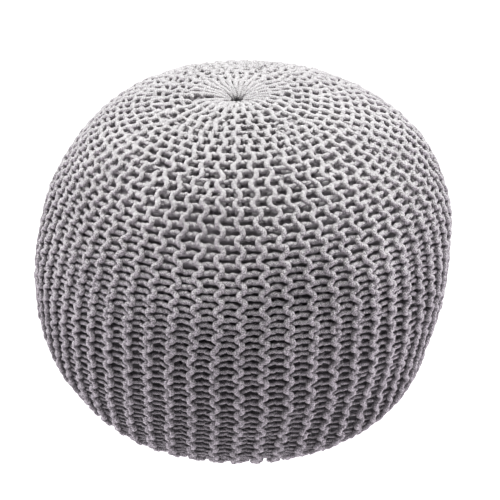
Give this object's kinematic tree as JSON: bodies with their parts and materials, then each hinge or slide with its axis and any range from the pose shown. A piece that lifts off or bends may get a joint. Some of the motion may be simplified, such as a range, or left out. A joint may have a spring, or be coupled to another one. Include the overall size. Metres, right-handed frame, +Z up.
{
  "type": "knitted pouf",
  "caption": "Round knitted pouf in thick grey garter-stitch cord over a filled bag, drawn up round a small eye on top, slumped a little to one side.",
  "frame": {"origin": "bottom centre of the bounding box: on the floor plane, under the middle of the body", "axes": "+Z up through the crown; the crown leans towards -X and slightly towards +Y; the face with the open stitches towards the viewer is -Y"},
  "size_m": [0.5, 0.5, 0.4182],
  "materials": {
    "cotton_cord": "matte knitted cotton cord, light heather grey",
    "casing_cloth": "plain woven cotton, mid grey",
    "tie_cord": "matte cotton cord, grey"
  },
  "bodies": {
    "root": {"knit_cover": "cotton_cord", "filled_casing": "casing_cloth", "crown_tie": "tie_cord"}
  },
  "joints": []
}
